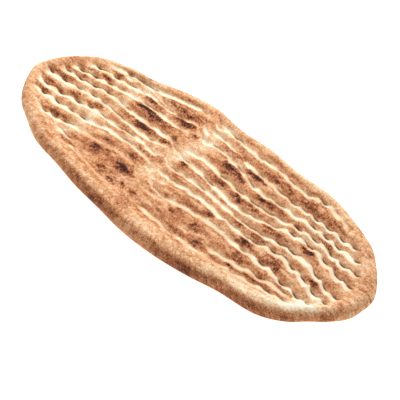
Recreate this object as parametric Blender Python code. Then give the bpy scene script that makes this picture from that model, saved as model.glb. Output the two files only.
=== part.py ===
"""Turkish flatbread: a long oval loaf with a puffed rim, whose top was pressed with the fingertips
into ten long furrows, each one a row of slanting nail-shaped dimples.

The frame: X runs along the loaf, Y across it, +Z up, with the origin under the middle, on the flat base.
Sizes are in millimetres, and MM turns them into Blender's metres at the end.
"""

import math
import random

import bmesh
import bpy
import numpy as np
from mathutils import Vector, noise

MM = 0.001

# Driving dimensions of the whole loaf
HALF_LENGTH = 280.0
HALF_WIDTH = 107.0
FIELD_HEIGHT = 18.0  # top of the ridges between the furrows
RIM_RISE, RIM_RISE_LEAN = 3.6, 2.3  # the rim stands this far above them, less along +Y and more along -Y
GIRTH_HEIGHT = 9.0  # height at which the loaf is widest

# How far the edge stands outside the plain oval, as a share of it, every 10 degrees from +X towards +Y
EDGE_SWELL = (
    -0.010, 0.008, 0.021, 0.045, 0.083, 0.091, 0.087, 0.013, 0.010, -0.015, 0.054, 0.036,
    -0.007, 0.039, 0.047, 0.019, 0.000, -0.012, -0.008, -0.015, -0.009, 0.005, 0.004, 0.018,
    -0.019, -0.016, -0.015, 0.019, 0.025, 0.013, 0.003, 0.058, 0.035, -0.006, -0.014, -0.011,
)

# The rim: narrow along +Y, broad along -Y
RIM_WIDTH_ENDS = 25.0
RIM_WIDTH_LEAN = 11.0  # taken off the +Y side and added to the -Y side
RIM_SLIMMER = (215.0, 52.0, 0.32)  # X and reach of a slimmer stretch on the -Y side, and its share
EDGE_ROUNDING = 12.0
BASE_INSET = 13.0  # how far the flat base stays inside the widest outline

# The furrows: where each line lies, at these stations along X, from the +Y side to the -Y side
STATIONS = tuple(range(-240, 241, 40))
LINES = (
    (69.3, 70.5, 75, 77.9, 87.7, 92.2, 88, 84.7, 84.4, 80.5, 84.3, 75.9, 65.2),
    (49.8, 55.8, 60.3, 65.3, 63.3, 72.4, 75.3, 66.7, 62.3, 59.3, 60.1, 57.9, 56.6),
    (35.8, 40.1, 47.7, 50.8, 50, 52.1, 60.1, 53.3, 43.7, 45.3, 48, 46, 42.7),
    (23.6, 26.5, 32.9, 27.6, 28.7, 28.9, 34.5, 28.4, 25.3, 27.6, 34.6, 32.8, 28.5),
    (7.2, 11.8, 16.9, 12, 11.5, 18.3, 16.2, 10.7, 6.5, 13.5, 24, 20.3, 9.9),
    (-11.2, -8.3, -0.4, -1.2, 1.9, -3.9, -1.5, -0.8, -4.1, -3.9, 3.9, -0.4, -12.1),
    (-24.8, -23.1, -20.4, -12.8, -10.6, -15.9, -16.9, -13.3, -17.2, -17.7, -10.5, -16.9, -27.5),
    (-43.6, -45.6, -38, -36.1, -31.1, -33.6, -43.4, -36.1, -32.8, -34.4, -34.5, -39.6, -41.2),
    (-53.4, -50.5, -54.1, -58.1, -61.6, -54.8, -48, -56, -61, -58, -51.4, -48.6, -51.4),
    (-62.4, -60.1, -64.9, -66.5, -74.1, -73.5, -73, -76, -76, -71, -63.5, -57.4, -50.5),
)
LINE_ENDS = (
    (-206, 207), (-224, 225), (-242, 238), (-247, 249), (-257, 253),
    (-261, 253), (-260, 250), (-221, 241), (-172, 208), (-158, 219),
)
CROSSING = (-50, -26)  # between these two X, each furrow crosses over to the next line
CROSSING_OFFSET = 16.0  # where the outermost furrows come in and run out beside the lines
CROSSING_FADE = 0.75  # the furrows are this much weaker there
# Lines that fade where the crust puffed up again: X, and the strength that is left there
FAINT = {
    7: ((-155, -135, -60, -40, 0, 60, 110), (1.0, 0.35, 0.35, 0.6, 0.8, 0.7, 1.0)),
    8: ((-160, -150, -135, -50, -25, 0, 22, 80, 100), (1.0, 1.0, 0.05, 0.05, 0.5, 0.6, 0.1, 0.1, 0.8)),
    9: ((-155, -140, -125, -20, 0, 60), (0.8, 0.9, 0.4, 0.4, 0.8, 0.8)),
}
FURROW_DEPTH = 4.6
NEAR_WIDTH, FAR_WIDTH = 3.4, 5.4  # a furrow is steeper on its -Y side
WIDE_WIDTH = 8.0
NEAR_CREASE, FAR_CREASE = 1.6, 2.6

# The dimples that the fingertips left: their X at the -X end and at the +X end of each line
LEFT_PRESSES = (
    (-200, -172), (-210, -181), (-225, -204, -180), (-238, -217, -192), (-254, -228, -204),
    (-243, -216, -188), (-252, -233, -208, -183), (-209, -191, -174), (-157,), (-146,),
)
RIGHT_PRESSES = (
    (150, 172, 192), (122, 140, 158, 176, 200, 221), (107, 135, 163, 183, 203, 233),
    (151, 177, 203, 222, 245), (152, 175, 205, 227, 248), (128, 149, 170, 207, 228, 246),
    (152, 181, 203, 222, 243), (125, 153, 188, 210, 231), (115, 136, 163), (160, 183, 207),
)
DIMPLE_PITCH = 21.0  # between the fainter ones over the middle
DIMPLE_DEPTH = 3.4
DIMPLE_BACK, DIMPLE_FRONT = 9.5, 6.0  # its reach behind and ahead
DIMPLE_NEAR, DIMPLE_FAR = 2.6, 4.2  # its reach to the -Y and the +Y side
DIMPLE_SLANT = math.radians(-12)
# How far the furrow swings towards -Y at a dimple, at these X
SAG_STATIONS = (-280, -150, -100, 100, 160, 280)
DIMPLE_SAG = (1.5, 1.4, 2.4, 2.6, 3.3, 3.3)
# How hard the fingertips pressed, at these X
PRESS_STATIONS = (-280, -215, -172, -145, -120, -50, -15, 30, 110, 160, 210, 280)
PRESS_STRENGTH = (0.95, 0.9, 0.75, 0.35, 0.2, 0.15, 0.3, 0.25, 0.45, 0.9, 1.0, 1.0)

# Slow unevenness of the crust
LUMP_SIZE, LUMP_HEIGHT = 34.0, 1.3
FLAT_BANDS = ((-32, 13), (-152, 9))  # X and reach of the two bands between sets of presses
FLAT_BAND_DROP = 1.6

# The mesh
COLUMNS, ROWS = 76, 62
EDGE_LINES = (0.0, 0.6, 2.4, 5.2, 9.0)  # how far inside the outline the outermost grid lines lie
UNDERSIDE_STEPS = 3

CRUST_COLOUR = (0.62, 0.36, 0.16, 1.0)


def smooth(value, low, high):
    """0 below low, 1 above high, and a smooth step between."""
    share = np.clip((value - low) / (high - low), 0, 1)
    return share * share * (3 - 2 * share)


def cubic(position, values):
    """A smooth curve through evenly spaced values, read at a position counted in steps."""
    values = np.asarray(values, float)
    step = np.clip(np.floor(position).astype(int), 0, len(values) - 2)
    share = position - step
    before, here = values[np.maximum(step - 1, 0)], values[step]
    after, beyond = values[step + 1], values[np.minimum(step + 2, len(values) - 1)]
    bend = 2 * before - 5 * here + 4 * after - beyond + share * (3 * (here - after) + beyond - before)
    return here + 0.5 * share * (after - before + share * bend)


def edge_scale(angle):
    """How far the outline lies from the middle at an angle, where the plain oval is 1."""
    turn = np.mod(angle, 2 * math.pi) / (2 * math.pi) * len(EDGE_SWELL)
    around = EDGE_SWELL[-2:] + EDGE_SWELL + EDGE_SWELL[:3]
    return 1 + cubic(turn + 2, around)


def lumps(x, y, size, seed):
    """Slow noise from -1 to 1, with swellings of about this size."""
    return np.array([noise.noise(Vector((a / size, b / size, seed))) for a, b in zip(x, y)])


def on_oval(u, v):
    """A square's point (u, v) moved into the outline: x, y, angle and share of the way out."""
    across, along = v * np.sqrt(1 - u * u / 2), u * np.sqrt(1 - v * v / 2)
    out = np.hypot(along, across)
    angle = np.arctan2(across, along)
    swell = 1 + (edge_scale(angle) - 1) * out**2
    return along * HALF_LENGTH * swell, across * HALF_WIDTH * swell, angle, out


def edge_distance(angle, out):
    """How far a point lies inside the outline, to first order."""
    return (1 - out) / np.hypot(np.cos(angle) / HALF_LENGTH, np.sin(angle) / HALF_WIDTH)


def line_at(x, index):
    """The y of one line of the table at x."""
    steps = (x - STATIONS[0]) / (STATIONS[1] - STATIONS[0])
    return cubic(np.clip(steps, 0, len(STATIONS) - 1), LINES[index])


def crossed(x):
    """How far a furrow has crossed from its own line to the next one, from 0 to 1."""
    return smooth(x, *CROSSING)


def middle_line(x, index):
    """The y of a furrow at x. Furrow -1 comes in at the crossing, and the last one runs out there."""
    before = line_at(x, max(index, 0)) + (CROSSING_OFFSET if index < 0 else 0)
    last = len(LINES) - 1
    after = line_at(x, min(index + 1, last)) - (CROSSING_OFFSET if index + 1 > last else 0)
    return before * (1 - crossed(x)) + after * crossed(x)


def strength(x, index):
    """How much of a furrow's full depth is left at x."""
    sides = []
    for line in (index, index + 1):
        if 0 <= line < len(LINES):
            sides.append(np.interp(x, *FAINT.get(line, ((0, 1), (1, 1)))))
        else:
            sides.append(np.zeros_like(x))
    share = crossed(x)
    start, end = CROSSING
    from_middle = (x - (start + end) / 2) / (0.6 * (end - start))
    return (sides[0] * (1 - share) + sides[1] * share) * (1 - CROSSING_FADE * np.exp(-(from_middle**2)))


def reach(index, table):
    """The -X end from one line of a table, joined to the +X end from the next."""
    middle = sum(CROSSING) / 2
    start = table[index][0] if index >= 0 else middle
    end = table[index + 1][1] if index + 1 < len(table) else middle
    return start, end


def dimples(index):
    """Where the fingertips went in along one furrow: the x, strength and slant of each."""
    draw = random.Random(40 + index)
    middle = sum(CROSSING) / 2
    left = LEFT_PRESSES[index] if index >= 0 else ()
    right = RIGHT_PRESSES[index + 1] if index + 1 < len(LINES) else ()
    first = left[-1] if left else middle
    last = right[0] if right else middle
    gaps = max(1, round((last - first) / DIMPLE_PITCH))
    between = tuple(first + (last - first) * number / gaps for number in range(1, gaps))
    row = []
    for place in left + between + right:
        press = np.interp(place, PRESS_STATIONS, PRESS_STRENGTH) * draw.uniform(0.85, 1.1)
        press *= float(strength(np.array([float(place)]), index)[0])
        loose = 2.5 if place in between else 0.5
        row.append((place + draw.uniform(-loose, loose), press, DIMPLE_SLANT + draw.uniform(-0.1, 0.1)))
    return row


def furrow_line(x, index, row):
    """The y of a furrow's bottom: it hangs in shallow arcs, deepest a little ahead of their middle."""
    middles = np.array([press[0] for press in row])
    presses = np.array([press[1] for press in row])
    nearest = np.abs(x[:, None] - middles[None, :]).argmin(axis=1)
    share = np.clip((x - middles[nearest]) / (0.5 * DIMPLE_PITCH), -1, 1)
    hang = ((1 + share) / 1.35) ** 1.35 * ((1 - share) / 0.65) ** 0.65
    full = np.interp(x, SAG_STATIONS, DIMPLE_SAG)
    return middle_line(x, index) + 0.5 * full - full * np.interp(x, middles, presses) * hang


def furrow_depth(x, y, index, row):
    """The share of its full depth that one furrow has at each point."""
    off = y - furrow_line(x, index, row)
    start, end = reach(index, LINE_ENDS)
    ends = smooth(x, start - 6, start + 8) * (1 - smooth(x, end - 8, end + 4))
    width = np.where(off > 0, FAR_WIDTH, NEAR_WIDTH)
    crease = np.where(off > 0, FAR_CREASE, NEAR_CREASE)
    profile = 0.25 * np.exp(-((off / WIDE_WIDTH) ** 2)) + 0.50 * np.exp(-((off / width) ** 2))
    profile += 0.25 * np.exp(-np.abs(off) / crease)
    return ends * strength(x, index) * profile


def dimple_depth(x, y, index, row):
    """The share of its full depth that the dimples of one furrow have at each point."""
    deepest = np.zeros_like(x)
    for middle_x, press, slant in row:
        middle_y = furrow_line(np.array([middle_x]), index, row)[0]
        ahead = (x - middle_x) * math.cos(slant) + (y - middle_y) * math.sin(slant)
        aside = (y - middle_y) * math.cos(slant) - (x - middle_x) * math.sin(slant)
        along = ahead / np.where(ahead > 0, DIMPLE_FRONT, DIMPLE_BACK)
        across = aside / np.where(aside > 0, DIMPLE_FAR, DIMPLE_NEAR)
        deepest = np.maximum(deepest, press * np.exp(-(np.hypot(along, across) ** 2.4)))
    return deepest


def pressed_depth(x, y):
    """How deep the furrows and their dimples lie below the ridges, in millimetres."""
    left = np.ones_like(x)
    deepest = np.zeros_like(x)
    for index in range(-1, len(LINES)):
        row = dimples(index)
        left *= 1 - furrow_depth(x, y, index, row)
        deepest = np.maximum(deepest, dimple_depth(x, y, index, row))
    return FURROW_DEPTH * (1 - left) + DIMPLE_DEPTH * deepest


def top_height(x, y, angle, out):
    """The height of the top crust, from the girth at the outline to the furrowed field."""
    inside = edge_distance(angle, out)
    rim_width = RIM_WIDTH_ENDS - RIM_WIDTH_LEAN * np.sin(angle)
    slim_x, slim_reach, slim_share = RIM_SLIMMER
    slimmer = np.exp(-(((x - slim_x) / slim_reach) ** 2)) * smooth(-np.sin(angle), 0.0, 0.4)
    rim_width *= 1 - slim_share * slimmer
    rim_share = 1 - smooth(inside, 0.4 * rim_width, 1.1 * rim_width)
    crown = FIELD_HEIGHT + (RIM_RISE - RIM_RISE_LEAN * np.sin(angle)) * rim_share
    crown += LUMP_HEIGHT * lumps(x, y, LUMP_SIZE, 3.0) * smooth(inside, 0, 20)
    for band_x, reach in FLAT_BANDS:
        crown -= FLAT_BAND_DROP * np.exp(-(((x - band_x - 0.25 * y) / reach) ** 2)) * smooth(inside, 15, 40)
    pressed = smooth(inside, 0.45 * rim_width, 0.95 * rim_width)
    crown -= pressed * pressed_depth(x, y)
    rise = np.sqrt(1 - (1 - np.clip(inside / EDGE_ROUNDING, 0, 1)) ** 2)
    return GIRTH_HEIGHT + (crown - GIRTH_HEIGHT) * rise


def grid_lines(count, half_size):
    """count + 1 positions from -1 to 1: a few close to either edge, and the rest evenly between."""
    edge = 1 - np.array(EDGE_LINES) / half_size
    between = np.linspace(-edge[-1], edge[-1], count + 1 - 2 * (len(edge) - 1))[1:-1]
    return np.concatenate([-edge, between, edge[::-1]])


def shape_top(mesh):
    """Moves a flat grid's vertices onto the top crust, with its outline centred."""
    columns, rows = grid_lines(COLUMNS, HALF_LENGTH), grid_lines(ROWS, HALF_WIDTH)
    place = np.array([vertex.co[:2] for vertex in mesh.verts])
    u = columns[np.rint((place[:, 0] + 1) / 2 * COLUMNS).astype(int)]
    v = rows[np.rint((place[:, 1] + 1) / 2 * ROWS).astype(int)]
    x, y, angle, out = on_oval(u, v)
    z = top_height(x, y, angle, out)
    middle_x, middle_y = (x.max() + x.min()) / 2, (y.max() + y.min()) / 2
    for vertex, point in zip(mesh.verts, np.column_stack([x - middle_x, y - middle_y, z])):
        vertex.co = Vector(point * MM)


def tuck_under(mesh):
    """Rolls the grid's border round the girth to the flat base, and closes the base."""
    border = [edge for edge in mesh.edges if edge.is_boundary]
    outline = {}
    for step in range(1, UNDERSIDE_STEPS + 1):
        turn = step / UNDERSIDE_STEPS * math.pi / 2
        made = bmesh.ops.extrude_edge_only(mesh, edges=border)["geom"]
        ring = [item for item in made if isinstance(item, bmesh.types.BMVert)]
        border = [item for item in made if isinstance(item, bmesh.types.BMEdge) and item.is_boundary]
        for vertex in ring:
            # Every ring starts as a copy of the one above, so the outline is where the girth was.
            girth = outline.get(vertex.co.to_tuple(9), vertex.co.copy())
            inset = 1 - BASE_INSET * MM * (1 - math.cos(turn)) / Vector(girth[:2]).length
            low = GIRTH_HEIGHT * MM * (1 - math.sin(turn))
            vertex.co = Vector((girth[0] * inset, girth[1] * inset, low))
            outline[vertex.co.to_tuple(9)] = girth
    bmesh.ops.triangle_fill(mesh, edges=border, use_beauty=True)


def crust_material():
    material = bpy.data.materials.new("baked_crust")
    material.use_nodes = True
    shader = material.node_tree.nodes["Principled BSDF"]
    shader.inputs["Base Color"].default_value = CRUST_COLOUR
    shader.inputs["Roughness"].default_value = 0.75
    shader.inputs["Metallic"].default_value = 0.0
    material.diffuse_color = CRUST_COLOUR
    return material


def make_bread(collection):
    shape = bmesh.new()
    bmesh.ops.create_grid(shape, x_segments=COLUMNS, y_segments=ROWS, size=1)
    shape_top(shape)
    tuck_under(shape)
    bmesh.ops.recalc_face_normals(shape, faces=shape.faces)
    mesh = bpy.data.meshes.new("bread")
    shape.to_mesh(mesh)
    shape.free()
    mesh.materials.append(crust_material())
    mesh.shade_smooth()
    mesh.set_sharp_from_angle(angle=math.radians(60))
    bread = bpy.data.objects.new("bread", mesh)
    collection.objects.link(bread)
    return bread


def main():
    for old in list(bpy.data.objects):
        bpy.data.objects.remove(old)
    collection = bpy.data.collections.new("turkish_flatbread")
    bpy.context.scene.collection.children.link(collection)
    make_bread(collection)


main()
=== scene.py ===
import math
import random

import bmesh
import bpy
import numpy as np
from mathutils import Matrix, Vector, noise


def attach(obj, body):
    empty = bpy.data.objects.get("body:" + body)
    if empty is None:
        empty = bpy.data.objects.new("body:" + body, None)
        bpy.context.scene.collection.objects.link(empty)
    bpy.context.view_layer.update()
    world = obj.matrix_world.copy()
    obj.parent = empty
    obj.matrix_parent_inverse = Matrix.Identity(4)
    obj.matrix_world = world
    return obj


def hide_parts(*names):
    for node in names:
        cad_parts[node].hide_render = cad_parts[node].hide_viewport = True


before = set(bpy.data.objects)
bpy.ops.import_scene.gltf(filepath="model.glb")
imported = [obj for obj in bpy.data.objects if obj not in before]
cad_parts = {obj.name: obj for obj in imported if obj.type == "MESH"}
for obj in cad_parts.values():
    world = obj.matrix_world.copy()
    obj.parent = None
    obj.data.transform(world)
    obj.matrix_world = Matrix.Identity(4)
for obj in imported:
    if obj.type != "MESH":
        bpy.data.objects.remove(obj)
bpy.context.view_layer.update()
mm = 0.001
noiseGain = 1.6  # brings the noise to about -1 to 1
farOff = 9.0  # the distance from a furrow that counts as away from it


# helpers that the shape functions share; they work on whole arrays, in millimetres

def smoothStep(value, low, high):
    share = np.clip((value - low) / (high - low), 0, 1)
    return share * share * (3 - 2 * share)


def bell(value, width):
    return np.exp(-((value / width) ** 2))


def curveThrough(position, values):
    # a smooth curve through evenly spaced values, read at a position counted in steps
    values = np.asarray(values, float)
    step = np.clip(np.floor(position).astype(int), 0, len(values) - 2)
    share = position - step
    before, here = values[np.maximum(step - 1, 0)], values[step]
    after, beyond = values[step + 1], values[np.minimum(step + 2, len(values) - 1)]
    bend = 2 * before - 5 * here + 4 * after - beyond + share * (3 * (here - after) + beyond - before)
    return here + 0.5 * share * (after - before + share * bend)


def noiseAt(x, y, sizeX, sizeY, seed):
    # soft noise, about -1 to 1, with swellings of these sizes
    return np.array([noise.noise(Vector((a / sizeX, b / sizeY, seed))) for a, b in zip(x, y)]) * noiseGain


def wander(x, size, seed):
    # soft noise along x alone
    steps = np.linspace(-290, 290, 291)
    return np.interp(x, steps, noiseAt(steps, 0 * steps, size, size, seed))


# the loaf's outline and thickness
loaf = {
    "halfLength": 280.0,
    "halfWidth": 107.0,
    "fieldHeight": 18.0,  # top of the ridges between the furrows
    "rimRise": 3.6,  # how far the rim stands above them
    "rimRiseLean": 2.3,  # it rises this much less along +Y and more along -Y
    "girthHeight": 9.0,
    "rimWidthEnds": 25.0,
    "rimWidthLean": 11.0,  # the rim is this much narrower along +Y and broader along -Y
    "rimSlimmer": (215.0, 52.0, 0.32),  # x and reach of a slimmer stretch on the -Y side, and its share
    "rimFall": (0.4, 1.1),  # the rim falls to the field between these shares of its width
    "pressedFrom": (0.45, 0.95),  # and the furrows start between these
    "edgeRounding": 12.0,
    "baseInset": 13.0,
    # how far the edge stands outside a plain oval, every 10 degrees from +X towards +Y
    "edgeSwell": (
        -0.010, 0.008, 0.021, 0.045, 0.083, 0.091, 0.087, 0.013, 0.010, -0.015, 0.054, 0.036,
        -0.007, 0.039, 0.047, 0.019, 0.000, -0.012, -0.008, -0.015, -0.009, 0.005, 0.004, 0.018,
        -0.019, -0.016, -0.015, 0.019, 0.025, 0.013, 0.003, 0.058, 0.035, -0.006, -0.014, -0.011,
    ),
    "lumpSize": 34.0,
    "lumpHeight": 1.3,
    "flatBands": ((-32, 13), (-152, 9)),  # x and reach of the two plainer bands between the presses
    "flatBandLean": 0.25,
    "flatBandDrop": 1.6,
    # the crust's small unevenness: size along x and y, seed and height
    "wrinkles": ((9.0, 6.0, 8.0, 0.45), (2.4, 4.2, 12.0, 0.34)),
}


def edgeScale(angle):
    # the outline's size against the plain oval, for whole arrays of angles
    swell = loaf["edgeSwell"]
    turn = np.mod(angle, 2 * math.pi) / (2 * math.pi) * len(swell)
    return 1 + curveThrough(turn + 2, swell[-2:] + swell + swell[:3])


def onOval(u, v):
    # a square's point (u, v), from -1 to 1, moved into the outline: x, y, angle and share of the way out
    across, along = v * np.sqrt(1 - u * u / 2), u * np.sqrt(1 - v * v / 2)
    out = np.hypot(along, across)
    angle = np.arctan2(across, along)
    swell = 1 + (edgeScale(angle) - 1) * out**2
    return along * loaf["halfLength"] * swell, across * loaf["halfWidth"] * swell, angle, out


def edgeDistance(angle, out):
    # how far inside the outline a point lies
    return (1 - out) / np.hypot(np.cos(angle) / loaf["halfLength"], np.sin(angle) / loaf["halfWidth"])


# the furrows and the fingertip dimples along them
furrow = {
    "stations": (-240, -200, -160, -120, -80, -40, 0, 40, 80, 120, 160, 200, 240),
    # y of each furrow's bottom at the stations, from the +Y side to the -Y side
    "lines": (
        (69.3, 70.5, 75, 77.9, 87.7, 92.2, 88, 84.7, 84.4, 80.5, 84.3, 75.9, 65.2),
        (49.8, 55.8, 60.3, 65.3, 63.3, 72.4, 75.3, 66.7, 62.3, 59.3, 60.1, 57.9, 56.6),
        (35.8, 40.1, 47.7, 50.8, 50, 52.1, 60.1, 53.3, 43.7, 45.3, 48, 46, 42.7),
        (23.6, 26.5, 32.9, 27.6, 28.7, 28.9, 34.5, 28.4, 25.3, 27.6, 34.6, 32.8, 28.5),
        (7.2, 11.8, 16.9, 12, 11.5, 18.3, 16.2, 10.7, 6.5, 13.5, 24, 20.3, 9.9),
        (-11.2, -8.3, -0.4, -1.2, 1.9, -3.9, -1.5, -0.8, -4.1, -3.9, 3.9, -0.4, -12.1),
        (-24.8, -23.1, -20.4, -12.8, -10.6, -15.9, -16.9, -13.3, -17.2, -17.7, -10.5, -16.9, -27.5),
        (-43.6, -45.6, -38, -36.1, -31.1, -33.6, -43.4, -36.1, -32.8, -34.4, -34.5, -39.6, -41.2),
        (-53.4, -50.5, -54.1, -58.1, -61.6, -54.8, -48, -56, -61, -58, -51.4, -48.6, -51.4),
        (-62.4, -60.1, -64.9, -66.5, -74.1, -73.5, -73, -76, -76, -71, -63.5, -57.4, -50.5),
    ),
    "ends": (
        (-206, 207), (-224, 225), (-242, 238), (-247, 249), (-257, 253),
        (-261, 253), (-260, 250), (-221, 241), (-172, 208), (-158, 219),
    ),
    "depth": 4.3,
    # widths on a furrow's -Y side, the steep one, and on its +Y side
    "sideWidth": (3.9, 5.4),
    "creaseWidth": (1.2, 2.6),
    "wideWidth": 8.0,
    "shares": (0.25, 0.50, 0.25),  # of the depth: the wide hollow, the furrow's sides and the crease
    "startFade": (-6, 8),  # from where to where a furrow comes in, about its start
    "endFade": (-8, 4),  # and runs out, about its end
    # lines that fade in places: x and strength there, by their number in the table
    "faint": {
        7: ((-155, -135, -60, -40, 0, 60, 110), (1.0, 0.35, 0.35, 0.6, 0.8, 0.7, 1.0)),
        8: ((-160, -150, -135, -50, -25, 0, 22, 80, 100), (1.0, 1.0, 0.05, 0.05, 0.5, 0.6, 0.1, 0.1, 0.8)),
        9: ((-155, -140, -125, -20, 0, 60), (0.8, 0.9, 0.4, 0.4, 0.8, 0.8)),
    },
    "wornPatch": ((-85, -44), (62, 14)),
    "shift": (-50, -26),  # between these two x, each furrow crosses to the line of the next one
    "shiftFade": 0.75,  # and is this much weaker there
    "outerOffset": 16.0,  # how far outside the last line a furrow comes in or runs out there
    "sway": (1.4, 0.7),  # how far a furrow wanders, in long and in short bends
    "uneven": 0.18,
    # short creases beside the furrows: their size against a furrow's, how far they bow,
    # and each one from x, y to x, y with its strength
    "strandSize": 0.45,
    "strandBow": 1.5,
    "strands": (
        (-39, 100, -24, 92, 0.6), (-31, 90, -18, 85, 0.9), (-38, 75, -24, 69, 0.9), (-49, 28, -33, 21, 0.7),
        (-47, -21, -35, -22, 0.5), (-17, -24, -8, -25, 0.6), (-32, -28, -24, -29, 0.5), (8, 80, 36, 69, 0.4),
        (148, 78, 160, 76, 0.5), (195, 77, 208, 73, 0.6), (-204, 75, -195, 77, 0.5), (-173, 72, -160, 69, 0.7),
        (-130, 75, -85, 67, 0.5), (-62, 4, -45, 3, 0.4), (-92, -35, -83, -35, 0.5), (-52, -35, -44, -36, 0.5),
    ),
}

dimple = {
    # x of the fingertips' presses at the -X end and at the +X end of each line of the table
    "leftPlaces": (
        (-200, -172), (-210, -181), (-225, -204, -180), (-238, -217, -192), (-254, -228, -204),
        (-243, -216, -188), (-252, -233, -208, -183), (-209, -191, -174), (-157,), (-146,),
    ),
    "rightPlaces": (
        (150, 172, 192), (122, 140, 158, 176, 200, 221), (107, 135, 163, 183, 203, 233),
        (151, 177, 203, 222, 245), (152, 175, 205, 227, 248), (128, 149, 170, 207, 228, 246),
        (152, 181, 203, 222, 243), (125, 153, 188, 210, 231), (115, 136, 163), (160, 183, 207),
    ),
    "pitch": 21.0,  # between fainter presses over the middle
    "loose": (0.5, 2.5),  # how far a press of the tables strays along x, and a fainter one
    "strengthSpread": (0.78, 1.15),
    "slant": math.radians(-12),
    "slantSpread": 0.1,
    "depth": 2.9,
    "lengths": (9.0, 5.5),  # towards -X and towards +X
    "widths": (2.0, 4.2),  # towards -Y and towards +Y
    "lift": 0.4,  # how far its middle lies from the furrow's bottom
    "lipHeight": 1.0,
    "lipRing": (3.2, 1.1, 0.4),  # the lip's width, how far out it lies and its own breadth
    "pitShadow": (0.3, 6.6, 5.0),  # where the dark bottom line of painted shadow runs: ahead of the middle, and half its size
    "hangPeak": 0.45,  # where in its arc a furrow hangs lowest, from the middle towards +X
    # x, and how far the furrow swings towards -Y at a dimple there
    "sagAt": ((-280, -150, -100, 100, 160, 280), (1.3, 1.3, 2.2, 2.4, 3.4, 3.4)),
    # x and strength of the presses there, from the -X end to the +X end
    "strengthAt": (
        (-280, -215, -172, -145, -120, -50, -15, 30, 110, 160, 210, 280),
        (0.95, 0.9, 0.75, 0.35, 0.2, 0.15, 0.3, 0.25, 0.45, 0.9, 1.0, 1.0),
    ),
}


def lineBefore(x, index):
    # where a furrow would run if it never crossed over
    stations = furrow["stations"]
    steps = np.clip((x - stations[0]) / (stations[1] - stations[0]), 0, len(stations) - 1)
    return curveThrough(steps, furrow["lines"][index])


def crossedLine(x, index):
    # furrow -1 starts at the crossing, and the last one ends there
    count = len(furrow["lines"])
    left, right = lineBefore(x, max(index, 0)), lineBefore(x, min(index + 1, count - 1))
    left = left + (furrow["outerOffset"] if index < 0 else 0)
    right = right - (furrow["outerOffset"] if index + 1 >= count else 0)
    crossed = smoothStep(x, *furrow["shift"])
    return left * (1 - crossed) + right * crossed


def strengthOf(x, index):
    # how strong a furrow is along x, with its change of line at the crossing
    both = []
    for line in (index, index + 1):
        if 0 <= line < len(furrow["lines"]):
            both.append(np.interp(x, *furrow["faint"].get(line, ((0, 1), (1, 1)))))
        else:
            both.append(np.zeros_like(x))
    start, end = furrow["shift"]
    crossed = smoothStep(x, *furrow["shift"])
    faded = 1 - furrow["shiftFade"] * bell(x - (start + end) / 2, 0.6 * (end - start))
    uneven = 1 + furrow["uneven"] * (wander(x, 13.0, 110 + index) - 0.6)
    return (both[0] * (1 - crossed) + both[1] * crossed) * faded * np.clip(uneven, 0, 1.05)


def reachOf(index):
    # the -X end of one line of the table joined to the +X end of the next
    table, middle = furrow["ends"], sum(furrow["shift"]) / 2
    start = table[index][0] if index >= 0 else middle
    end = table[index + 1][1] if index + 1 < len(table) else middle
    return start, end


def findDimples():
    # x, strength and slant of every fingertip's press, furrow by furrow
    found = []
    count = len(furrow["lines"])
    crossing = sum(furrow["shift"]) / 2
    spread = dimple["slantSpread"]
    for index in range(-1, count):
        draw = random.Random(40 + index)
        left = dimple["leftPlaces"][index] if index >= 0 else ()
        right = dimple["rightPlaces"][index + 1] if index + 1 < count else ()
        first = left[-1] if left else crossing
        last = right[0] if right else crossing
        gaps = max(1, round((last - first) / dimple["pitch"]))
        between = tuple(first + (last - first) * number / gaps for number in range(1, gaps))
        row = []
        for place in left + between + right:
            strength = np.interp(place, *dimple["strengthAt"]) * draw.uniform(*dimple["strengthSpread"])
            strength *= float(strengthOf(np.array([float(place)]), index)[0])
            loose = dimple["loose"][1 if place in between else 0]
            middle = place + draw.uniform(-loose, loose)
            row.append((middle, strength, dimple["slant"] + draw.uniform(-spread, spread)))
        found.append((index, row))
    return found


presses = findDimples()
print("presses placed:", sum(len(row) for index, row in presses))


def furrowLine(x, index, row):
    # a furrow hangs in a shallow arc from cusp to cusp, with a dimple in each arc
    middles = np.array([press[0] for press in row])
    strengths = np.array([press[1] for press in row])
    nearest = np.abs(x[:, None] - middles[None, :]).argmin(axis=1)
    share = np.clip((x - middles[nearest]) / (0.5 * dimple["pitch"]), -1, 1)
    before, after = 1 + dimple["hangPeak"], 1 - dimple["hangPeak"]
    hang = ((1 + share) / before) ** before * ((1 - share) / after) ** after
    full = np.interp(x, *dimple["sagAt"])
    sag = full * np.interp(x, middles, strengths) * hang
    longSway, shortSway = furrow["sway"]
    sway = longSway * wander(x, 19.0, 80 + index) + shortSway * wander(x, 7.0, 95 + index)
    return crossedLine(x, index) + sway + 0.5 * full - sag


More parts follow.
